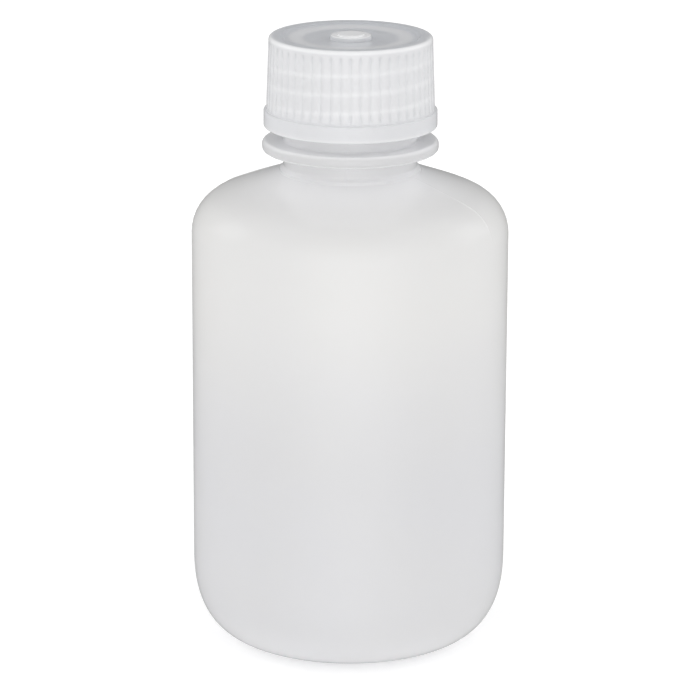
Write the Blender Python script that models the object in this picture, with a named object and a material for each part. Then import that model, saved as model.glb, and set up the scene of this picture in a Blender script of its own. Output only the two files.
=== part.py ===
"""A 125 mL narrow-mouth plastic reagent bottle with its screw cap and sealing disc.

Units are metres and +Z is up. The bottle stands on Z = 0 and the Z axis is its axis. Every
shape is turned about that axis, so each is given as an (r, z) profile. The cap and the
disc are modelled from their own lowest plane and then put in place by their location.
"""

import math

import bmesh
import bpy

# Gap that neighbouring pieces keep from each other
GAP = 0.0003
WELD = 1e-6

# Bottle: body and base
BODY_RADIUS = 0.0255
WALL = 0.0012
BASE_CORNER_WIDTH = 0.0107
BASE_CORNER_HEIGHT = 0.0143
BASE_CORNER_POWER = 2.5
STANDING_RING_INNER = 0.0115
PUSH_UP_STEP = 0.0005
PUSH_UP_HEIGHT = 0.0017
PUSH_UP_RADIUS = 0.0105
BASE_WALL = 0.0014

# Bottle: shoulder, drawn from its slope at the neck to its slope at the rim
SHOULDER_TOP = 0.0778
SHOULDER_TOP_RADIUS = 0.0113
SHOULDER_TOP_SLOPE = math.radians(20)
SHOULDER_RIM_SLOPE = math.radians(25)
SHOULDER_EASE_RADIUS = 0.0305
SHOULDER_RIM_RADIUS = 0.0069

# Bottle: neck, carrying ring and mouth
NECK_RADIUS = 0.0107
NECK_RIDGE_HEIGHT = 0.0009
BORE_RADIUS = 0.0082
BORE_FLARE = 0.0030
CARRYING_RING_RADIUS = 0.01415
CARRYING_RING_Z = 0.0820
CARRYING_RING_THICKNESS = 0.0018
MOUTH_Z = 0.0968
LIP_ROUNDING = 0.0005

# Thread, right-handed, shared by the neck and the cap
PITCH = 0.0030
NECK_THREAD_RADIUS = 0.01185
NECK_THREAD_TOP = 0.09546
NECK_THREAD_TOP_AZIMUTH = math.radians(-65)
NECK_THREAD_TURNS = 2.4
THREAD_ROOT_WIDTH = 0.0017
THREAD_CREST_WIDTH = 0.0007
CAP_THREAD_RADIUS = 0.0111
CAP_THREAD_DROP = 0.0013
CAP_THREAD_TURNS = 2.1
CAP_THREAD_ROOT_WIDTH = 0.0015
CAP_THREAD_CREST_WIDTH = 0.0006
THREAD_SINK = 0.00035
THREAD_RUNOUT_TURNS = 0.1

# Sealing disc
DISC_RADIUS = 0.0114
DISC_THICKNESS = 0.0009
PLUG_RADIUS = 0.00785
PLUG_WALL = 0.0008
PLUG_DEPTH = 0.0028
PLUG_CHAMFER = 0.0004

# Screw cap
CAP_HEIGHT = 0.0146
CAP_TOP_WALL = 0.0014
CAP_TOP_RADIUS = 0.0131
CAP_FOOT_RADIUS = 0.0135
CAP_BORE_RADIUS = 0.0122
CAP_EDGE_ROUNDING = 0.0006
BAND_RADIUS = 0.0139
BAND_HEIGHT = 0.00275
BAND_STEP = 0.0003
MOUTH_CHAMFER = 0.0007
BEAD_RADIUS = 0.0112
BEAD_DROP = 0.00035
DISH_RADIUS = 0.0108
DISH_STEP = 0.00015
DISH_DEPTH = 0.0006
BUTTON_RADIUS = 0.0032
BUTTON_HEIGHT = 0.0007
BUTTON_TOP_RADIUS = 0.0022
BUTTON_TOP_HEIGHT = 0.0002
RIBS = 52
GROOVE_WIDTH = 0.00045
GROOVE_DEPTH = 0.00022
GROOVE_END = 0.0007

# Facets
BOTTLE_SEGMENTS = 40
DISC_SEGMENTS = 36
THREAD_STEPS_PER_TURN = 40
ARC_STEPS = 5

# Heights that follow from the stack of mouth, disc and cap
DISC_Z = MOUTH_Z + GAP - PLUG_DEPTH
CAP_Z = MOUTH_Z + GAP + DISC_THICKNESS + GAP + CAP_TOP_WALL - CAP_HEIGHT

BOTTLE_COLOUR = (0.86, 0.87, 0.88, 1.0)
CAP_COLOUR = (0.90, 0.90, 0.91, 1.0)
DISC_COLOUR = (0.93, 0.93, 0.92, 1.0)


def clear_scene():
    for obj in list(bpy.data.objects):
        bpy.data.objects.remove(obj, do_unlink=True)


def plastic(name, colour, roughness):
    """A translucent, uncoloured moulded plastic."""
    material = bpy.data.materials.new(name)
    material.use_nodes = True
    shader = material.node_tree.nodes["Principled BSDF"]
    shader.inputs["Base Color"].default_value = colour
    shader.inputs["Roughness"].default_value = roughness
    shader.inputs["Metallic"].default_value = 0.0
    shader.inputs["Subsurface Weight"].default_value = 0.4
    shader.inputs["Subsurface Scale"].default_value = WALL
    return material


def link_mesh(name, bm, material=None):
    bmesh.ops.recalc_face_normals(bm, faces=bm.faces)
    mesh = bpy.data.meshes.new(name)
    bm.to_mesh(mesh)
    bm.free()
    mesh.shade_smooth()
    mesh.set_sharp_from_angle(angle=math.radians(30))
    if material:
        mesh.materials.append(material)
    obj = bpy.data.objects.new(name, mesh)
    bpy.context.collection.objects.link(obj)
    return obj


def arc(centre, radius, start, end, steps=ARC_STEPS):
    """Points on an arc about an (r, z) centre; angles in degrees from +r towards +z."""
    angles = [math.radians(start + (end - start) * i / steps) for i in range(steps + 1)]
    return [(centre[0] + radius * math.cos(a), centre[1] + radius * math.sin(a)) for a in angles]


def lathe(name, profile, segments, material):
    """Turn an (r, z) profile, which starts and ends on the axis, into a closed mesh."""
    bm = bmesh.new()
    verts = [bm.verts.new((r, 0.0, z)) for r, z in profile]
    edges = [bm.edges.new(pair) for pair in zip(verts, verts[1:])]
    bmesh.ops.spin(bm, geom=verts + edges, cent=(0, 0, 0), axis=(0, 0, 1),
                   angle=math.tau, steps=segments, use_merge=True)
    bmesh.ops.remove_doubles(bm, verts=bm.verts, dist=WELD)
    return link_mesh(name, bm, material)


def base_corner(inset):
    """The body's rounded lower corner, from the side wall to the floor."""
    width = BASE_CORNER_WIDTH - inset
    height = BASE_CORNER_HEIGHT - inset
    centre_r = BODY_RADIUS - BASE_CORNER_WIDTH
    power = 2 / BASE_CORNER_POWER
    steps = 2 * ARC_STEPS
    points = []
    for i in range(steps + 1):
        angle = math.pi / 2 * i / steps
        points.append((centre_r + width * max(math.cos(angle), 0.0) ** power,
                       BASE_CORNER_HEIGHT - height * math.sin(angle) ** power))
    return points


def shoulder(inset):
    """The shoulder from its upper edge at the neck down to the top of the side wall."""
    rim_end = 90 - math.degrees(SHOULDER_RIM_SLOPE)
    ease_end = 90 - math.degrees(SHOULDER_TOP_SLOPE)
    rim_r = BODY_RADIUS - SHOULDER_RIM_RADIUS
    offset = SHOULDER_EASE_RADIUS - SHOULDER_RIM_RADIUS
    ease_r = rim_r - offset * math.cos(math.radians(rim_end))
    cone_r = ease_r + SHOULDER_EASE_RADIUS * math.cos(math.radians(ease_end))
    cone_z = SHOULDER_TOP - (cone_r - SHOULDER_TOP_RADIUS) * math.tan(SHOULDER_TOP_SLOPE)
    ease_z = cone_z - SHOULDER_EASE_RADIUS * math.sin(math.radians(ease_end))
    rim_z = ease_z + offset * math.sin(math.radians(rim_end))
    ease = arc((ease_r, ease_z), SHOULDER_EASE_RADIUS - inset, ease_end, rim_end, 2)
    rim = arc((rim_r, rim_z), SHOULDER_RIM_RADIUS - inset, rim_end, 0)
    return ease + rim[1:]


def bottle_outside():
    """From the mouth's lip down the outside to the middle of the base."""
    lip_z = MOUTH_Z - LIP_ROUNDING
    ring_half = CARRYING_RING_THICKNESS / 2
    lip = arc((NECK_RADIUS - LIP_ROUNDING, lip_z), LIP_ROUNDING, 90, 0, 3)
    ring = arc((CARRYING_RING_RADIUS - ring_half, CARRYING_RING_Z), ring_half, 90, -90, 6)
    ridge_top = SHOULDER_TOP + NECK_RIDGE_HEIGHT
    points = lip
    points += [(NECK_RADIUS, CARRYING_RING_Z + ring_half)]
    points += ring
    points += [(NECK_RADIUS, CARRYING_RING_Z - ring_half)]
    points += [(NECK_RADIUS, ridge_top)]
    points += [(SHOULDER_TOP_RADIUS, ridge_top - NECK_RIDGE_HEIGHT / 2)]
    points += [(SHOULDER_TOP_RADIUS, SHOULDER_TOP)]
    points += shoulder(0)
    points += base_corner(0)
    points += [(STANDING_RING_INNER, 0.0)]
    points += [(PUSH_UP_RADIUS, PUSH_UP_STEP)]
    points += [(PUSH_UP_RADIUS / 2, (PUSH_UP_STEP + 3 * PUSH_UP_HEIGHT) / 4)]
    points += [(0.0, PUSH_UP_HEIGHT)]
    return points


def bottle_inside():
    """From the middle of the floor up the inside to the mouth's lip."""
    slope = SHOULDER_TOP_SLOPE
    flare_r = BORE_RADIUS + BORE_FLARE
    wall_z = WALL / math.cos(slope)
    under_z = SHOULDER_TOP - wall_z - (flare_r - SHOULDER_TOP_RADIUS) * math.tan(slope)
    half_z = under_z + BORE_FLARE * math.tan(slope) + BORE_FLARE / 4
    lip_z = MOUTH_Z - LIP_ROUNDING
    points = [(0.0, PUSH_UP_HEIGHT + BASE_WALL)]
    points += [(PUSH_UP_RADIUS / 2, (PUSH_UP_STEP + 3 * PUSH_UP_HEIGHT) / 4 + BASE_WALL)]
    points += [(PUSH_UP_RADIUS, PUSH_UP_STEP + BASE_WALL)]
    points += [(STANDING_RING_INNER, BASE_WALL)]
    points += base_corner(WALL)[::-1]
    points += shoulder(WALL)[::-1]
    points += [(flare_r, under_z)]
    points += [(BORE_RADIUS + BORE_FLARE / 4, half_z)]
    points += [(BORE_RADIUS, half_z + BORE_FLARE)]
    points += [(BORE_RADIUS, lip_z)]
    points += [(BORE_RADIUS + LIP_ROUNDING, MOUTH_Z)]
    return points


def cap_profile():
    """From the middle of the cap's ceiling down the inside, up the outside to the button."""
    ceiling = CAP_HEIGHT - CAP_TOP_WALL
    disc_under = ceiling - DISC_THICKNESS - 2 * GAP
    bead_z = disc_under + GAP - BEAD_DROP
    pocket_r = DISC_RADIUS + GAP
    dish_z = CAP_HEIGHT - DISH_DEPTH
    button_z = dish_z + BUTTON_HEIGHT
    edge_z = CAP_HEIGHT - CAP_EDGE_ROUNDING
    points = [(0.0, ceiling)]
    points += [(pocket_r, ceiling)]
    points += [(pocket_r, bead_z + BEAD_DROP)]
    points += [(BEAD_RADIUS, bead_z)]
    points += [(BEAD_RADIUS, bead_z - BEAD_DROP / 2)]
    points += [(CAP_BORE_RADIUS, bead_z - 2 * BEAD_DROP)]
    points += [(CAP_BORE_RADIUS, 2 * MOUTH_CHAMFER)]
    points += [(CAP_BORE_RADIUS + MOUTH_CHAMFER, 0.0)]
    points += [(BAND_RADIUS - BAND_STEP, 0.0)]
    points += [(BAND_RADIUS, BAND_STEP)]
    points += [(BAND_RADIUS, BAND_HEIGHT - BAND_STEP)]
    points += [(CAP_FOOT_RADIUS, BAND_HEIGHT)]
    points += arc((CAP_TOP_RADIUS - CAP_EDGE_ROUNDING, edge_z), CAP_EDGE_ROUNDING, 0, 90, 4)
    points += [(DISH_RADIUS, CAP_HEIGHT)]
    points += [(DISH_RADIUS - DISH_STEP, CAP_HEIGHT - DISH_STEP)]
    points += [(BUTTON_RADIUS, dish_z)]
    points += [(BUTTON_RADIUS, button_z)]
    points += [(BUTTON_TOP_RADIUS, button_z)]
    points += [(BUTTON_TOP_RADIUS, button_z + BUTTON_TOP_HEIGHT)]
    points += [(0.0, button_z + BUTTON_TOP_HEIGHT)]
    return points


def disc_profile():
    """From the middle of the disc's top, round its plug lip, to the middle underneath."""
    under = PLUG_DEPTH
    top = under + DISC_THICKNESS
    plug_inner = PLUG_RADIUS - PLUG_WALL
    points = [(0.0, top)]
    points += [(DISC_RADIUS - PLUG_CHAMFER / 2, top)]
    points += [(DISC_RADIUS, top - PLUG_CHAMFER / 2)]
    points += [(DISC_RADIUS, under)]
    points += [(PLUG_RADIUS, under)]
    points += [(PLUG_RADIUS, PLUG_CHAMFER)]
    points += [(PLUG_RADIUS - PLUG_CHAMFER, 0.0)]
    points += [(plug_inner, 0.0)]
    points += [(plug_inner, under)]
    points += [(0.0, under)]
    return points


def thread_ridge(name, wall, crest, widths, top, turns):
    """A closed right-hand ridge on a wall, sunk into it at its root and at both ends.

    widths are the ridge's widths at the wall and at its crest; top is the (azimuth, z) of
    its upper end. The ridge stands outwards where crest is larger than wall.
    """
    outwards = 1 if crest > wall else -1
    depth = abs(crest - wall)
    root = wall - outwards * THREAD_SINK
    root_width = widths[0] + (widths[0] - widths[1]) * THREAD_SINK / depth
    steps = round(turns * THREAD_STEPS_PER_TURN)
    bm = bmesh.new()
    rings = []
    for i in range(steps + 1):
        turn = turns * i / steps
        rise = min(turn, turns - turn, THREAD_RUNOUT_TURNS) / THREAD_RUNOUT_TURNS
        height = rise * (depth + THREAD_SINK / 2) - THREAD_SINK / 2
        edge = wall + outwards * height
        angle = top[0] - math.tau * turn
        z = top[1] - PITCH * turn
        section = [(root, -root_width / 2), (edge, -widths[1] / 2),
                   (edge, widths[1] / 2), (root, root_width / 2)]
        rings.append([bm.verts.new((r * math.cos(angle), r * math.sin(angle), z + dz))
                      for r, dz in section])
    for ring, after in zip(rings, rings[1:]):
        for i in range(len(ring)):
            bm.faces.new((ring[i], ring[i - 1], after[i - 1], after[i]))
    bm.faces.new(rings[0])
    bm.faces.new(rings[-1][::-1])
    return link_mesh(name, bm)


def groove_cutter(name):
    """The V-shaped grooves between the cap's ribs, which follow the skirt's taper."""
    half = GROOVE_WIDTH / 2
    low = BAND_HEIGHT + GROOVE_END
    high = CAP_HEIGHT - CAP_EDGE_ROUNDING - GROOVE_END
    taper = (CAP_TOP_RADIUS - CAP_FOOT_RADIUS) / (CAP_HEIGHT - CAP_EDGE_ROUNDING - BAND_HEIGHT)
    bm = bmesh.new()
    for i in range(RIBS):
        angle = math.tau * i / RIBS
        across = (-math.sin(angle), math.cos(angle))
        out = (math.cos(angle), math.sin(angle))
        ends = []
        for z in (low, high):
            wall = CAP_FOOT_RADIUS + taper * (z - BAND_HEIGHT)
            section = [(wall - GROOVE_DEPTH, 0.0), (wall + GROOVE_DEPTH, 2 * half),
                       (wall + GROOVE_DEPTH, -2 * half)]
            ends.append([bm.verts.new((r * out[0] + s * across[0], r * out[1] + s * across[1], z))
                         for r, s in section])
        lower, upper = ends
        for j in range(len(lower)):
            bm.faces.new((lower[j - 1], lower[j], upper[j], upper[j - 1]))
        bm.faces.new(lower[::-1])
        bm.faces.new(upper)
    return link_mesh(name, bm)


def combine(obj, tool, operation):
    """Keep a tool shape as a hidden guide and combine it with an object."""
    tool.hide_render = True
    tool.display_type = "WIRE"
    tool.parent = obj
    modifier = obj.modifiers.new(tool.name, "BOOLEAN")
    modifier.operation = operation
    modifier.solver = "EXACT"
    modifier.object = tool


def build_bottle(material):
    profile = bottle_inside() + bottle_outside()
    bottle = lathe("bottle", profile, BOTTLE_SEGMENTS, material)
    ridge = thread_ridge("neck_thread_guide", NECK_RADIUS, NECK_THREAD_RADIUS,
                         (THREAD_ROOT_WIDTH, THREAD_CREST_WIDTH),
                         (NECK_THREAD_TOP_AZIMUTH, NECK_THREAD_TOP), NECK_THREAD_TURNS)
    combine(bottle, ridge, "UNION")
    return bottle


def build_cap(material):
    cap = lathe("screw_cap", cap_profile(), RIBS, material)
    combine(cap, groove_cutter("groove_guide"), "DIFFERENCE")
    thread_top = NECK_THREAD_TOP - CAP_THREAD_DROP - CAP_Z
    ridge = thread_ridge("cap_thread_guide", CAP_BORE_RADIUS, CAP_THREAD_RADIUS,
                         (CAP_THREAD_ROOT_WIDTH, CAP_THREAD_CREST_WIDTH),
                         (NECK_THREAD_TOP_AZIMUTH, thread_top), CAP_THREAD_TURNS)
    combine(cap, ridge, "UNION")
    cap.location.z = CAP_Z
    return cap


def build_disc(material):
    disc = lathe("sealing_disc", disc_profile(), DISC_SEGMENTS, material)
    disc.location.z = DISC_Z
    return disc


def main():
    clear_scene()
    assembly = bpy.data.objects.new("reagent_bottle", None)
    bpy.context.collection.objects.link(assembly)
    pieces = [
        build_bottle(plastic("bottle_plastic", BOTTLE_COLOUR, 0.35)),
        build_cap(plastic("cap_plastic", CAP_COLOUR, 0.3)),
        build_disc(plastic("disc_plastic", DISC_COLOUR, 0.4)),
    ]
    for piece in pieces:
        piece.parent = assembly


main()
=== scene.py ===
"""Fine visual model of a plastic reagent bottle, its sealing disc and its screw cap.

Each piece is turned about the bottle's axis from an (r, z) line given in millimetres.
Threads, ribs and mould marks are raised on that grid, so each piece is one closed skin.
"""

import math

import bpy
import numpy as np
from mathutils import Matrix, Vector


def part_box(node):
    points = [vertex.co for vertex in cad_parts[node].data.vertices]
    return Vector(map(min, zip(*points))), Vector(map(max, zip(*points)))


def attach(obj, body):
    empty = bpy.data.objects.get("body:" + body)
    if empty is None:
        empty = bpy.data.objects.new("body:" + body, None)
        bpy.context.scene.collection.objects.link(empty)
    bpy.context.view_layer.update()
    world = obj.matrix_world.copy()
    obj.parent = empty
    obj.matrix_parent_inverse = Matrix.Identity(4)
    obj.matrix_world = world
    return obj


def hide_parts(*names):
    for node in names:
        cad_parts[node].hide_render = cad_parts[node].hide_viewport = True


MM = 0.001
TAU = math.tau

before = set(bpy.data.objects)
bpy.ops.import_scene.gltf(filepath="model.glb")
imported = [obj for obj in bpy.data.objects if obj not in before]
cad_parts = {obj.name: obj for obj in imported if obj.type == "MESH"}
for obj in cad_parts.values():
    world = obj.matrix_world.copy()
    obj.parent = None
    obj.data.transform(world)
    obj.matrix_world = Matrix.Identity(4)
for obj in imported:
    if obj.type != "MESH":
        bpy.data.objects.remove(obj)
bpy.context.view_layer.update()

bottle_low, bottle_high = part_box("bottle")
cap_low, cap_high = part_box("screw_cap")
disc_low, disc_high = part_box("sealing_disc")

# Bottle: body and base
BODY_R = bottle_high.x / MM
WALL = 1.2
CORNER_WIDTH = 10.7
CORNER_HEIGHT = 14.3
CORNER_POWER = 2.5
STAND_R = 11.5
PUSH_UP_R = 10.5
PUSH_UP_STEP = 0.5
PUSH_UP = 1.7
BASE_WALL = 1.4

# Bottle: shoulder, from its slope at the neck to its slope at the rim
SHOULDER_Z = 77.8
SHOULDER_R = 11.3
NECK_SLOPE = math.radians(20)
RIM_SLOPE = math.radians(25)
EASE_R = 30.5
RIM_R = 6.9

# Bottle: neck
MOUTH_Z = bottle_high.z / MM
NECK_R = 10.7
NECK_RIDGE = 0.9
BORE_R = 8.2
BORE_FLARE = 3.0
RING_R = 14.15
RING_Z = 82.0
RING_HALF = 0.9
LIP = 0.5

# Thread, right-handed
PITCH = 3.0
THREAD_AZIMUTH = math.radians(-65)
THREAD_Z = 95.46
NECK_THREAD_DEPTH = 1.15
NECK_THREAD_TURNS = 2.4
NECK_THREAD_WIDTHS = (1.7, 0.7)
CAP_THREAD_DEPTH = 1.1
CAP_THREAD_DROP = 1.3
CAP_THREAD_TURNS = 2.1
CAP_THREAD_WIDTHS = (1.5, 0.6)
RUNOUT = 0.1
# Where lighter bands are painted on the cap's skirt, along the neck's thread as it shows through.
SEEN_AZIMUTH = math.radians(90)
SEEN_Z = 97.33
SEEN_TURNS = 2.9

# Mould marks: the planes of the parting lines, and how far and how wide the lines stand up
PARTING = math.radians(-27.5)
NECK_PARTING = math.radians(-92.5)
SEAM_LOW = 0.012
SEAM_HIGH = 0.05
SEAM_WIDTH = 0.11
NECK_SEAM = 0.03
RING_SEAM = 0.04
NECK_SEAM_WIDTH = 0.12
PINCH_DEPTH = 0.12
PINCH_WIDTH = 0.3

# Sealing disc
DISC_R = disc_high.x / MM
DISC_Z = disc_low.z / MM
DISC_TOP = disc_high.z / MM
DISC_THICK = 0.9
PLUG_R = 7.85
PLUG_WALL = 0.8

# Screw cap
CAP_Z = cap_low.z / MM
CAP_TALL = 14.6
CAP_TOP_R = 13.1
CAP_FOOT_R = 13.5
CAP_BORE_R = 12.2
CAP_TOP_WALL = 1.4
CAP_EDGE = 0.6
BAND_R = cap_high.x / MM
BAND_TALL = 2.75
BEAD_R = 11.2
POCKET_R = 11.7
POCKET_DEPTH = 1.5
DISH_R = 10.8
DISH_DEPTH = 0.6
BUTTON_R = 3.2
BUTTON_TALL = 0.7
STUD_R = 2.2
STUD_TALL = 0.2
RIBS = 52
GROOVE_DEPTH = 0.08

# Light: the room as it lights the plastic's body, as its gloss mirrors it and as the camera
# sees it, the floor's own light, and the two softboxes
LIGHT_ROUND = 0.43
LIGHT_BEFORE = 0.38
LIGHT_BESIDE = 0.86
LIGHT_ABOVE = 0.36
GLOSS_BEFORE = 2.6
GLOSS_NARROW = 3.0
GLOSS_BEHIND = 0.06
GLOSS_ABOVE = 0.3
GLOSS_BELOW = 1.0
ROOM_SEEN = 1.4
FLOOR_GLOW = 0.17
FLOOR_SEEN = 0.10
FLOOR_R = 12
FLOOR_COLOUR = (0.9, 0.9, 0.9, 1.0)
FLOOR_ROUGHNESS = 0.9
SOFTBOX_BESIDE = 0.86
SOFTBOX_BEHIND = 0.29
SOFTBOX_ABOVE = 0.51
SOFTBOX_TARGET = (0, 0, 0.08)
SOFTBOX_SIZE = 0.5
SOFTBOX_POWER = 0.6

# Camera, at the photo's angle
CAMERA_PLACE = (0.0, -0.5965, 0.2192)
CAMERA_TARGET = (0.00007, 0.0, 0.0477)
CAMERA_ROLL = math.radians(0.24)
CAMERA_SENSOR = 36.0
CAMERA_LENS = 196.4

# Plastic: how solid it looks on the outside, the share of light it lets through when not
# solid and when solid, and its skin. The solid paint on the meshes also holds painted light
# and shade.
SOLID = 0.65
LET_THROUGH = (0.85, 0.08)
PLASTIC_IOR = 1.54
TINT_DRIFT = 0.6
ROUGHNESS_DRIFT = 0.03
CLOUDS = (55.0, 3.0)
WAVES = (70.0, 1.0)
WAVE_BUMP = (0.25, 0.0006)
GRAIN = (2600.0, 2.0)
GRAIN_BUMP = (0.15, 0.00004)

# Mesh: longest step along the bottle's neck, along the cap's walls, and round an arc
ROW = 0.16
CAP_ROW = 0.32
ARC = math.radians(9)
BOTTLE_COLUMNS = 216
DISC_COLUMNS = 192


# ---- lines ----

def arc(centre, radius, start, end):
    """Points on an arc about an (r, z) centre; angles in radians from +r towards +z."""
    steps = max(2, math.ceil(abs(end - start) / ARC))
    turn = np.linspace(start, end, steps + 1)
    return [(centre[0] + radius * math.cos(t), centre[1] + radius * math.sin(t)) for t in turn]


def rounded(corners):
    """A line through (r, z, radius) corners, each rounded to its radius."""
    points = [corners[0][:2]]
    for before, here, after in zip(corners, corners[1:], corners[2:]):
        p, a, b = (np.array(c[:2], float) for c in (here, before, after))
        into, out = (a - p) / np.linalg.norm(a - p), (b - p) / np.linalg.norm(b - p)
        half = math.acos(max(-1.0, min(1.0, float(into @ out)))) / 2
        if here[2] <= 0 or half > 1.55:
            points.append(tuple(p))
            continue
        centre = p + (into + out) / np.linalg.norm(into + out) * here[2] / math.sin(half)
        reach = here[2] / math.tan(half)
        first, last = p + into * reach - centre, p + out * reach - centre
        start, end = math.atan2(first[1], first[0]), math.atan2(last[1], last[0])
        end = start + (end - start + math.pi) % TAU - math.pi
        points += arc(centre, here[2], start, end)
    points.append(corners[-1][:2])
    return points


def spaced(points, step):
    """The same line with no gap longer than the step."""
    out = [points[0]]
    for a, b in zip(points, points[1:]):
        parts = max(1, math.ceil(math.hypot(b[0] - a[0], b[1] - a[1]) / step))
        out += [(a[0] + (b[0] - a[0]) * i / parts, a[1] + (b[1] - a[1]) * i / parts)
                for i in range(1, parts + 1)]
    return out


def base_corner(inset):
    """The body's rounded lower corner, from the side wall to the floor."""
    width, height = CORNER_WIDTH - inset, CORNER_HEIGHT - inset
    points = []
    for t in np.linspace(0, math.pi / 2, 33):
        points.append((BODY_R - CORNER_WIDTH + width * max(math.cos(t), 0.0) ** (2 / CORNER_POWER),
                       CORNER_HEIGHT - height * math.sin(t) ** (2 / CORNER_POWER)))
    return points


def shoulder(inset):
    """The shoulder from its upper edge at the neck down to the top of the side wall."""
    rim, ease = math.pi / 2 - RIM_SLOPE, math.pi / 2 - NECK_SLOPE
    rim_r = BODY_R - RIM_R
    ease_r = rim_r - (EASE_R - RIM_R) * math.cos(rim)
    cone_r = ease_r + EASE_R * math.cos(ease)
    cone_z = SHOULDER_Z - (cone_r - SHOULDER_R) * math.tan(NECK_SLOPE)
    ease_z = cone_z - EASE_R * math.sin(ease)
    rim_z = ease_z + (EASE_R - RIM_R) * math.sin(rim)
    return (arc((ease_r, ease_z), EASE_R - inset, ease, rim)
            + arc((rim_r, rim_z), RIM_R - inset, rim, 0)[1:])


def bottle_line():
    slope = math.tan(NECK_SLOPE)
    flare_r = BORE_R + BORE_FLARE
    under_z = SHOULDER_Z - WALL / math.cos(NECK_SLOPE) - (flare_r - SHOULDER_R) * slope
    half_z = under_z + BORE_FLARE * slope + BORE_FLARE / 4
    inside = rounded([(0, PUSH_UP + BASE_WALL, 0),
                      (PUSH_UP_R / 2, (PUSH_UP_STEP + 3 * PUSH_UP) / 4 + BASE_WALL, 20),
                      (PUSH_UP_R, PUSH_UP_STEP + BASE_WALL, 0.6),
                      (STAND_R, BASE_WALL, 0.6)] + [(*base_corner(WALL)[-1], 0)])
    inside += base_corner(WALL)[::-1][1:] + shoulder(WALL)[::-1]
    inside += rounded([(flare_r + 2, under_z - 2 * slope, 0), (flare_r, under_z, 1.2),
                       (BORE_R + BORE_FLARE / 4, half_z, 1.2), (BORE_R, half_z + BORE_FLARE, 2),
                       (BORE_R, MOUTH_Z - 2, 0)])[1:]
    inside += rounded([(BORE_R, MOUTH_Z - 2, 0), (BORE_R, MOUTH_Z, LIP),
                       ((BORE_R + NECK_R) / 2, MOUTH_Z, 0)])[1:]
    lip = rounded([((BORE_R + NECK_R) / 2, MOUTH_Z, 0), (NECK_R, MOUTH_Z, LIP),
                   (NECK_R, MOUTH_Z - LIP, 0)])[1:]
    ring_top, ring_under = RING_Z + RING_HALF, RING_Z - RING_HALF
    neck = spaced([(NECK_R, MOUTH_Z - LIP), (NECK_R, ring_top + 0.6)], ROW)[1:]
    ridge_top = SHOULDER_Z + NECK_RIDGE
    foot = rounded([(NECK_R, ring_top + 0.6, 0), (NECK_R, ring_top, 0.4),
                    (RING_R, ring_top, RING_HALF * 0.8), (RING_R, ring_under, RING_HALF * 0.8),
                    (NECK_R, ring_under, 0.5), (NECK_R, ridge_top, 0.25),
                    (SHOULDER_R, ridge_top - NECK_RIDGE / 2, 0.15), (SHOULDER_R, SHOULDER_Z, 0.25),
                    (SHOULDER_R + 2, SHOULDER_Z - 2 * slope, 0)])[1:-1]
    body = spaced(shoulder(0), 1.0)
    wall = spaced([body[-1], base_corner(0)[0]], 2.0)[1:]
    base = base_corner(0)[1:]
    under = rounded([(*base[-1], 0), (STAND_R, 0, 0.5), (PUSH_UP_R, PUSH_UP_STEP, 0.5),
                     (PUSH_UP_R / 2, (PUSH_UP_STEP + 3 * PUSH_UP) / 4, 20), (0, PUSH_UP, 0)])[1:]
    return inside + lip, neck, spaced(foot, 0.4), body + wall + base, spaced(under, 0.5)


def cap_line():
    """The cap from the middle of its ceiling, down the inside and up the outside."""
    ceiling = CAP_TALL - CAP_TOP_WALL
    pocket = ceiling - POCKET_DEPTH
    top = CAP_TALL - CAP_EDGE
    dish = CAP_TALL - DISH_DEPTH
    button = dish + BUTTON_TALL
    inside = rounded([(0, ceiling, 0), (POCKET_R, ceiling, 0.3), (POCKET_R, pocket, 0.1),
                      (BEAD_R, pocket - 0.3, 0.15), (BEAD_R, pocket - 0.5, 0.15),
                      (CAP_BORE_R, pocket - 0.8, 0.2), (CAP_BORE_R, pocket - 1.1, 0)])
    bore = spaced([(CAP_BORE_R, pocket - 1.1), (CAP_BORE_R, 1.4)], CAP_ROW)[1:]
    foot = rounded([(CAP_BORE_R, 1.4, 0), (CAP_BORE_R + 0.55, 0, 0.25),
                    (BAND_R, 0, 0.3), (BAND_R, 0.4, 0), (BAND_R, 0.7, 0),
                    (BAND_R, BAND_TALL, 0.25),
                    (CAP_FOOT_R, BAND_TALL, 0.15), (CAP_FOOT_R, BAND_TALL + 0.25, 0)])[1:]
    lean = (CAP_TOP_R - CAP_FOOT_R) / (top - BAND_TALL)
    skirt = spaced([(CAP_FOOT_R + lean * 0.25, BAND_TALL + 0.25), (CAP_TOP_R, top)], CAP_ROW)[1:]
    lid = arc((CAP_TOP_R - CAP_EDGE, top), CAP_EDGE, 0, math.pi / 2)
    lid += rounded([(CAP_TOP_R - CAP_EDGE, CAP_TALL, 0), (DISH_R + 0.3, CAP_TALL, 0.25),
                    (DISH_R - 0.1, CAP_TALL - 0.28, 0.25), (BUTTON_R + 0.1, dish, 0.25),
                    (BUTTON_R, button, 0.18), (STUD_R + 0.05, button, 0.12),
                    (STUD_R, button + STUD_TALL, 0.1), (0, button + STUD_TALL, 0)])[1:]
    return inside, bore, foot, skirt, spaced(lid, 0.5)[1:]


def disc_line():
    """The disc from the middle of its top, round its plug lip, to the middle underneath."""
    under = DISC_TOP - DISC_Z - DISC_THICK
    return rounded([(0, under + DISC_THICK, 0), (DISC_R, under + DISC_THICK, 0.25),
                    (DISC_R, under, 0.25), (PLUG_R, under, 0.2), (PLUG_R, 0.3, 0.3),
                    (PLUG_R - 0.25, 0, 0.15), (PLUG_R - PLUG_WALL, 0, 0.15),
                    (PLUG_R - PLUG_WALL, under, 0.3), (0, under, 0)])


# ---- reliefs ----

def ramp(x):
    """A soft step from 0 at 0 to 1 at 1."""
    x = np.clip(x, 0, 1)
    return x * x * (3 - 2 * x)


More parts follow.
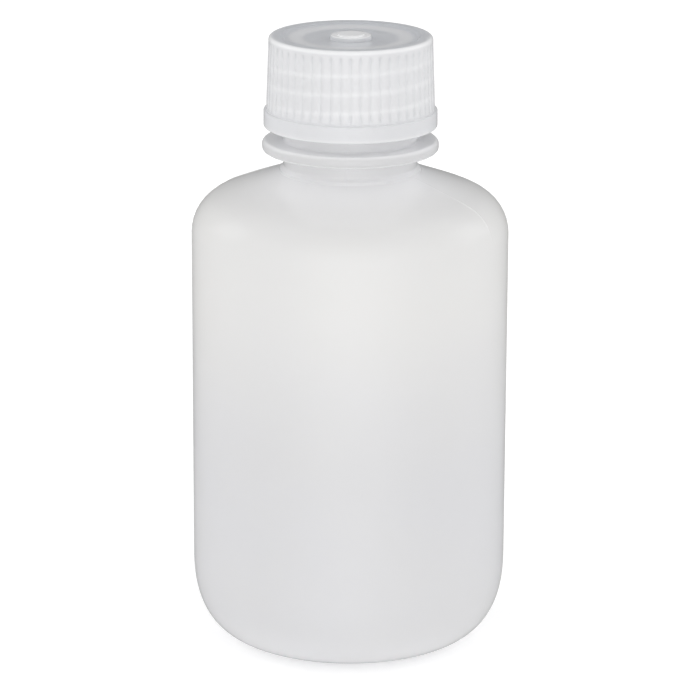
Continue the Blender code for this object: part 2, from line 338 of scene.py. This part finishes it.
def thread(z, azimuth, start, top_z, turns, widths):
    """How far a right-hand thread stands up at each point of a wall, from 0 to 1."""
    lead = ((start - azimuth) / TAU) % 1
    height = np.zeros(np.broadcast(z, azimuth).shape)
    for whole in range(math.ceil(turns)):
        turn = lead + whole
        across = (widths[0] / 2 - abs(z - top_z + PITCH * turn)) / ((widths[0] - widths[1]) / 2)
        along = np.minimum(turn, turns - turn) / RUNOUT
        height = np.maximum(height, ramp(across) * ramp(along))
    return height


def mark(r, azimuth, plane, width):
    """A thin line, from 0 to 1, where a wall meets the plane through the axis."""
    return np.exp(-(r * np.sin(azimuth - plane) / width) ** 2)


def apart(stretches):
    """The stretches without the points that repeat the one before."""
    kept, before = [], (math.inf, 0)
    for points in stretches:
        kept.append([])
        for point in points:
            if math.dist(point, before) > 0.003:
                kept[-1].append(point)
                before = point
    return kept


def turned(name, stretches, azimuths, base_z, relief):
    """A closed mesh from stretches of an (r, z) line in mm. relief gives, for the number of
    a stretch and its grid of r, z and azimuth, how far it moves in r and in z, and how
    solid and how warm the plastic looks there, from 0 to 1; both values also carry painted
    light and shade."""
    grids, looks = [], []
    stretches = apart(stretches)
    for number, points in enumerate(stretches):
        line = np.array(points, float)
        r, z = np.repeat(line[:, :1], len(azimuths), 1), np.repeat(line[:, 1:], len(azimuths), 1)
        dr, dz, *look = relief(number, r, z, azimuths[None, :])
        looks.append(np.stack([np.broadcast_to(value, r.shape) for value in look], 2))
        grids.append(np.stack([(r + dr) * np.cos(azimuths), (r + dr) * np.sin(azimuths),
                               z + dz + base_z], 2))
    grid, look = np.concatenate(grids) * MM, np.concatenate(looks)
    rows, columns = grid.shape[:2]
    inner = grid[1:-1].reshape(-1, 3)
    points = np.concatenate([grid[:1, 0], inner, grid[-1:, 0]])
    number = 1 + np.arange((rows - 2) * columns).reshape(rows - 2, columns)
    beside = np.roll(number, -1, 1)
    quads = np.stack([number[:-1], beside[:-1], beside[1:], number[1:]], 2).reshape(-1, 4)
    last = len(points) - 1
    faces = quads.tolist() + [(0, b, a) for a, b in zip(number[0], beside[0])]
    faces += [(last, a, b) for a, b in zip(number[-1], beside[-1])]
    r, z = np.concatenate([np.array(points, float) for points in stretches]).T
    if np.sum((r[:-1] + r[1:]) ** 2 * np.diff(z)) < 0:  # the line runs down the outside
        faces = [face[::-1] for face in faces]
    mesh = bpy.data.meshes.new(name)
    mesh.from_pydata(points.tolist(), [], faces)
    look = np.concatenate([look[:1, 0], look[1:-1].reshape(-1, 2), look[-1:, 0]])
    for column, label in enumerate(("solid_and_painted_light", "warm")):
        layer = mesh.attributes.new(label, "FLOAT", "POINT")
        layer.data.foreach_set("value", look[:, column].astype(np.float32))
    mesh.shade_smooth()
    piece = bpy.data.objects.new(name, mesh)
    bpy.context.scene.collection.objects.link(piece)
    return piece


def bottle_azimuths():
    """Even steps, with finer ones across the parting lines."""
    even = np.linspace(0, TAU, BOTTLE_COLUMNS, endpoint=False)
    near = np.radians([-1.2, -0.6, -0.35, -0.15, 0, 0.15, 0.35, 0.6, 1.2])
    extra = [(plane + side + near) % TAU for plane in (PARTING, NECK_PARTING)
             for side in (0, math.pi)]
    clear = even[np.all([np.abs((even - e + math.pi) % TAU - math.pi) > math.radians(0.3)
                         for e in np.concatenate(extra)], axis=0)]
    return np.sort(np.concatenate([clear] + extra))


def bottle_relief(stretch, r, z, azimuth):
    """Stretches: 0 inside, 1 neck, 2 neck's foot and ring, 3 shoulder and body, 4 base."""
    zero = np.zeros(np.broadcast(r, azimuth).shape)
    if stretch == 1:
        raised = thread(z, azimuth, THREAD_AZIMUTH, THREAD_Z, NECK_THREAD_TURNS,
                        NECK_THREAD_WIDTHS)
        seam = NECK_SEAM * mark(r, azimuth, NECK_PARTING, NECK_SEAM_WIDTH)
        return NECK_THREAD_DEPTH * raised + seam, zero, SOLID + 0.3, 0.3
    if stretch == 2:
        seam = RING_SEAM * mark(r, azimuth, NECK_PARTING, NECK_SEAM_WIDTH)
        seam *= ramp((RING_R - r) / 0.3)
        # Painted light and shade: ring lightens the ring's top and the gap above it under the cap,
        # ridge paints a lighter line at the neck's foot, and face darkens the ring's outer face.
        ring = ramp((z - RING_Z + 1.5) / 0.6)
        face = ramp((r - RING_R + 0.3) / 0.25)
        ridge = ramp((SHOULDER_Z + 1.2 - z) / 0.4)
        return seam, zero, SOLID + 0.15 + 0.2 * ring + 0.05 * ridge - 0.35 * face, 0.3
    if stretch == 3:
        high = ramp((z - 68) / 6)
        line = mark(r, azimuth, PARTING, SEAM_WIDTH)
        seam = (SEAM_LOW + SEAM_HIGH * high) * line * ramp((z - 0.5) / 2)
        # Painted glow: glow makes the upper body below the shoulder more solid and warmer, a
        # lighter warm band that stands in for light passing through the bottle.
        glow = ramp((z - 30) / 34) * ramp((82 - z) / 12)
        # The last term paints light into the lower corner, which sits in shade over the floor.
        solid_and_painted_light = SOLID - 0.12 + 0.22 * glow + 0.3 * line * high + 0.15 * ramp((9 - z) / 8)
        return seam * ramp((BODY_R - r) / 0.5 + 0.2), seam * high, solid_and_painted_light, 0.3 + 0.6 * glow
    if stretch == 4:
        pinch = mark(r, azimuth, PARTING, PINCH_WIDTH) * ramp((z - 0.4) / 0.3)
        return zero, -PINCH_DEPTH * pinch, SOLID + 0.3 * pinch, 0.3
    return zero, zero, 0.0, 0.3


def cap_azimuths():
    """Eight steps to each rib, finer where the groove's walls stand."""
    across = np.array([-0.5, -0.43, -0.35, -0.2, 0, 0.2, 0.35, 0.43])
    return ((np.arange(RIBS)[:, None] + 0.5 + across) * TAU / RIBS).ravel()


def cap_relief(stretch, r, z, azimuth):
    """Stretches: 0 ceiling, 1 bore, 2 smooth band, 3 ribbed skirt, 4 lid."""
    zero = np.zeros(np.broadcast(r, azimuth).shape)
    if stretch == 1:
        raised = thread(z + CAP_Z, azimuth, THREAD_AZIMUTH, THREAD_Z - CAP_THREAD_DROP,
                        CAP_THREAD_TURNS, CAP_THREAD_WIDTHS)
        return -CAP_THREAD_DEPTH * raised, zero, 0.0, 0.5
    if stretch == 2:
        # foot paints a highlight: a lighter, warmer line along the band's lower edge.
        foot = ramp((0.7 - z) / 0.3)
        return zero, zero, SOLID + 0.03 + 0.14 * foot, 0.8 + 0.2 * foot
    if stretch == 3:
        across = np.abs((azimuth / TAU * RIBS) % 1 - 0.5)
        groove = ramp((across - 0.25) / 0.25) * GROOVE_DEPTH + 0.04 * (across / 0.5) ** 2
        low = BAND_TALL + 0.35
        high = CAP_TALL - CAP_EDGE - 0.25
        arch = high - 0.9 * (1 - np.sqrt(np.clip(1 - (np.abs(across - 0.5) / 0.5) ** 2, 0, 1)))
        shape = ramp((z - low) / 0.3) * ramp((arch - z) / 0.45)
        # seen paints lighter bands where the neck's thread shows through the wall: painted light
        # along the thread.
        seen = thread(z + CAP_Z, azimuth, SEEN_AZIMUTH, SEEN_Z, SEEN_TURNS, (0.9, 0.1))
        tip = ramp((z - high + 1.2) / 0.4)
        heel = ramp((low + 1.8 - z) / 0.5)
        # dark paints shade into the grooves, stronger low on the skirt and at the ribs' upper and
        # lower ends.
        dark = shape * groove / GROOVE_DEPTH * (0.8 - 0.4 * z / high + 2.4 * tip + 1.2 * heel)
        solid_and_painted_light = SOLID + 0.12 + 0.145 * seen - 0.05 * dark
        return -groove * shape, zero, solid_and_painted_light, 0.93 + 0.07 * seen - 0.08 * dark
    if stretch == 4:
        # Painted light and shade on the lid: the dish is left darker and cool as painted shade of
        # the space under it, land paints a lighter ring where the neck's mouth lies under it, and
        # edge and button paint highlights on the rounded edge and the button.
        land = ramp((r - 7.5) / 0.4) * ramp((10.1 - r) / 0.4)
        edge = ramp((r - 12.2) / 0.7)
        button = ramp((BUTTON_R + 0.2 - r) / 0.3)
        solid_and_painted_light = 0.35 + 0.3 * land + 0.65 * (edge + button)
        return zero, zero, solid_and_painted_light, np.clip(0.7 * land + edge + button, 0, 1)
    return zero, zero, 0.0, 0.5


def disc_relief(stretch, r, z, azimuth):
    zero = np.zeros(np.broadcast(r, azimuth).shape)
    return zero, zero, 0.3, 0.5


# ---- materials ----

def maths(tree, operation, a, b):
    """A maths node's result; a and b are numbers or sockets."""
    node = tree.nodes.new("ShaderNodeMath")
    node.operation = operation
    for socket, value in zip(node.inputs, (a, b)):
        if isinstance(value, (int, float)):
            socket.default_value = value
        else:
            tree.links.new(value, socket)
    return node.outputs[0]


def painted(tree, label):
    """The value that a mesh carries under this name."""
    node = tree.nodes.new("ShaderNodeAttribute")
    node.attribute_name = label
    return node.outputs["Fac"]


def noise(tree, place, scale, detail):
    """Noise from 0 to 1 in the piece's own space."""
    node = tree.nodes.new("ShaderNodeTexNoise")
    node.inputs["Scale"].default_value = scale
    node.inputs["Detail"].default_value = detail
    tree.links.new(place, node.inputs["Vector"])
    return node.outputs["Fac"]


def between(tree, value, low, high, reach=(0.0, 1.0)):
    """A value spread from the two ends of its reach to low and high."""
    node = tree.nodes.new("ShaderNodeMapRange")
    node.inputs["From Min"].default_value, node.inputs["From Max"].default_value = reach
    node.inputs["To Min"].default_value = low
    node.inputs["To Max"].default_value = high
    tree.links.new(value, node.inputs["Value"])
    return node.outputs["Result"]


def bump(tree, height, strength, distance, under=None):
    """A normal bent by a height, over the normal under it."""
    node = tree.nodes.new("ShaderNodeBump")
    node.inputs["Strength"].default_value = strength
    node.inputs["Distance"].default_value = distance
    tree.links.new(height, node.inputs["Height"])
    if under is not None:
        tree.links.new(under, node.inputs["Normal"])
    return node.outputs["Normal"]


def moulded_plastic(name, cool, warm, roughness):
    """Uncoloured moulded plastic: light scatters inside it under a glossy skin with a fine
    grain and long soft waves. It passes less light where it is painted solid and at grazing
    angles, and its tint goes from cool to warm with the paint. The paint also holds painted
    light and shade: a glow, highlights, and shade in grooves and hollows."""
    material = bpy.data.materials.new(name)
    material.use_nodes = True
    tree = material.node_tree
    nodes, links = tree.nodes, tree.links
    shader = nodes["Principled BSDF"]
    shader.inputs["IOR"].default_value = PLASTIC_IOR

    place = nodes.new("ShaderNodeTexCoord").outputs["Object"]
    solid_and_painted_light, warmth = (painted(tree, label) for label in ("solid_and_painted_light", "warm"))
    cloud = noise(tree, place, *CLOUDS)
    drift = maths(tree, "MULTIPLY", maths(tree, "SUBTRACT", cloud, 0.5), TINT_DRIFT)
    tint = nodes.new("ShaderNodeMix")
    tint.data_type = "RGBA"
    tint.inputs["A"].default_value = (*cool, 1.0)
    tint.inputs["B"].default_value = (*warm, 1.0)
    links.new(maths(tree, "ADD", warmth, drift), tint.inputs["Factor"])
    links.new(tint.outputs["Result"], shader.inputs["Base Color"])
    links.new(between(tree, cloud, roughness - ROUGHNESS_DRIFT, roughness + ROUGHNESS_DRIFT,
                      (0.3, 0.7)), shader.inputs["Roughness"])
    broad = bump(tree, noise(tree, place, *WAVES), *WAVE_BUMP)
    normal = bump(tree, noise(tree, place, *GRAIN), *GRAIN_BUMP, broad)
    links.new(normal, shader.inputs["Normal"])

    glow = nodes.new("ShaderNodeBsdfTranslucent")
    links.new(tint.outputs["Result"], glow.inputs["Color"])
    edge = nodes.new("ShaderNodeFresnel")
    edge.inputs["IOR"].default_value = PLASTIC_IOR
    face_on = maths(tree, "SUBTRACT", 1.0, edge.outputs["Fac"])
    skin = nodes.new("ShaderNodeMixShader")
    links.new(maths(tree, "MULTIPLY", between(tree, solid_and_painted_light, *LET_THROUGH), face_on),
              skin.inputs["Fac"])
    links.new(shader.outputs["BSDF"], skin.inputs[1])
    links.new(glow.outputs["BSDF"], skin.inputs[2])
    links.new(skin.outputs["Shader"], nodes["Material Output"].inputs["Surface"])
    return material


# ---- pieces ----

bottle = turned("bottle_skin", bottle_line(), bottle_azimuths(), 0.0, bottle_relief)
# The bottle's tint turns warm most in the painted glow on its upper body.
bottle.data.materials.append(moulded_plastic("bottle_plastic_look", (0.968, 0.97, 0.985),
                                             (0.985, 0.98, 0.967), 0.19))
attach(bottle, "bottle")
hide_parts("bottle")

disc = turned("sealing_disc_skin", [disc_line()], np.linspace(0, TAU, DISC_COLUMNS, endpoint=False),
              DISC_Z, disc_relief)
disc.data.materials.append(moulded_plastic("disc_plastic_look", (0.96, 0.965, 0.965),
                                           (0.97, 0.965, 0.95), 0.24))
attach(disc, "seal")
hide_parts("sealing_disc")

cap = turned("screw_cap_skin", cap_line(), cap_azimuths(), CAP_Z, cap_relief)
# The cap's cool tint is darker than its warm one and gives the lid's dish its painted shade.
cap.data.materials.append(moulded_plastic("cap_plastic_look", (0.9, 0.912, 0.935),
                                          (0.978, 0.98, 0.99), 0.2))
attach(cap, "cap")
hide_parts("screw_cap")


# ---- stage, light and camera ----

def softbox(name, side):
    """A soft lamp behind the bottle, to one side of it."""
    lamp = bpy.data.lights.new(name, "AREA")
    lamp.shape = "RECTANGLE"
    lamp.size = lamp.size_y = SOFTBOX_SIZE
    lamp.energy = SOFTBOX_POWER
    obj = bpy.data.objects.new(name, lamp)
    obj.location = (side * SOFTBOX_BESIDE, SOFTBOX_BEHIND, SOFTBOX_ABOVE)
    aim(obj, SOFTBOX_TARGET)
    bpy.context.scene.collection.objects.link(obj)


def aim(obj, target, roll=0.0):
    """Turn an object so that it looks at the target."""
    back = (Vector(obj.location) - Vector(target)).to_track_quat("Z", "Y").to_matrix()
    obj.rotation_euler = (back @ Matrix.Rotation(roll, 3, "Z")).to_euler()


def surround():
    """A white room to the eye. It lights the plastic from all round, most from the sides.
    Reflections see a bright wall straight in front, pale light above and below, and the dark
    behind."""
    world = bpy.data.worlds.new("studio")
    bpy.context.scene.world = world
    world.use_nodes = True
    tree = world.node_tree
    nodes, links = tree.nodes, tree.links
    nodes.clear()
    way = nodes.new("ShaderNodeTexCoord").outputs["Generated"]
    split = nodes.new("ShaderNodeSeparateXYZ")
    links.new(way, split.inputs[0])
    x, y, z = (split.outputs[axis] for axis in "XYZ")
    behind = maths(tree, "MAXIMUM", y, 0.0)
    before = maths(tree, "MAXIMUM", maths(tree, "MULTIPLY", y, -1.0), 0.0)
    straight = maths(tree, "POWER", before, GLOSS_NARROW)
    beside = maths(tree, "ABSOLUTE", x, 0.0)
    above = maths(tree, "MAXIMUM", z, 0.0)
    below = maths(tree, "MULTIPLY", maths(tree, "MULTIPLY", z, z),
                  maths(tree, "LESS_THAN", z, 0.0))
    path = nodes.new("ShaderNodeLightPath")
    soft, gloss, seen = (nodes.new("ShaderNodeBackground") for _ in range(3))
    for background, start, parts in (
            (soft, LIGHT_ROUND, ((before, LIGHT_BEFORE), (beside, LIGHT_BESIDE),
                                 (above, LIGHT_ABOVE))),
            (gloss, 0.0, ((straight, GLOSS_BEFORE), (behind, GLOSS_BEHIND),
                          (above, GLOSS_ABOVE), (below, GLOSS_BELOW)))):
        total = start
        for side, strength in parts:
            total = maths(tree, "ADD", maths(tree, "MULTIPLY", side, strength), total)
        links.new(total, background.inputs["Strength"])
    seen.inputs["Strength"].default_value = ROOM_SEEN
    first, second = nodes.new("ShaderNodeMixShader"), nodes.new("ShaderNodeMixShader")
    links.new(path.outputs["Is Glossy Ray"], first.inputs["Fac"])
    links.new(soft.outputs["Background"], first.inputs[1])
    links.new(gloss.outputs["Background"], first.inputs[2])
    links.new(path.outputs["Is Camera Ray"], second.inputs["Fac"])
    links.new(first.outputs["Shader"], second.inputs[1])
    links.new(seen.outputs["Background"], second.inputs[2])
    out = nodes.new("ShaderNodeOutputWorld")
    links.new(second.outputs["Shader"], out.inputs["Surface"])


def floor():
    """A white table, lit from within a little so that it stays white round the bottle."""
    mesh = bpy.data.meshes.new("floor")
    rim = [(FLOOR_R * math.cos(t), FLOOR_R * math.sin(t), 0.0)
           for t in np.linspace(0, TAU, 64, endpoint=False)]
    mesh.from_pydata(rim, [], [tuple(range(len(rim)))])
    obj = bpy.data.objects.new("floor", mesh)
    bpy.context.scene.collection.objects.link(obj)
    material = bpy.data.materials.new("pale_floor")
    material.use_nodes = True
    tree = material.node_tree
    shader = tree.nodes["Principled BSDF"]
    shader.inputs["Base Color"].default_value = FLOOR_COLOUR
    shader.inputs["Roughness"].default_value = FLOOR_ROUGHNESS
    shader.inputs["Specular IOR Level"].default_value = 0.0
    shader.inputs["Emission Color"].default_value = (1.0, 1.0, 1.0, 1.0)
    path = tree.nodes.new("ShaderNodeLightPath")
    seen = maths(tree, "MULTIPLY", path.outputs["Is Camera Ray"], FLOOR_SEEN)
    tree.links.new(maths(tree, "ADD", seen, FLOOR_GLOW), shader.inputs["Emission Strength"])
    mesh.materials.append(material)
    obj.visible_glossy = False


surround()
floor()
softbox("left_softbox", -1)
softbox("right_softbox", 1)

camera = bpy.data.objects.new("camera", bpy.data.cameras.new("camera"))
camera.data.sensor_width = CAMERA_SENSOR
camera.data.lens = CAMERA_LENS
camera.location = CAMERA_PLACE
aim(camera, CAMERA_TARGET, CAMERA_ROLL)
bpy.context.scene.collection.objects.link(camera)
bpy.context.scene.camera = camera
bpy.context.scene.view_settings.view_transform = "Standard"
# Light that goes into the closed bottle needs many bounces to come out again.
bpy.context.scene.cycles.diffuse_bounces = 16
bpy.context.scene.cycles.max_bounces = 20
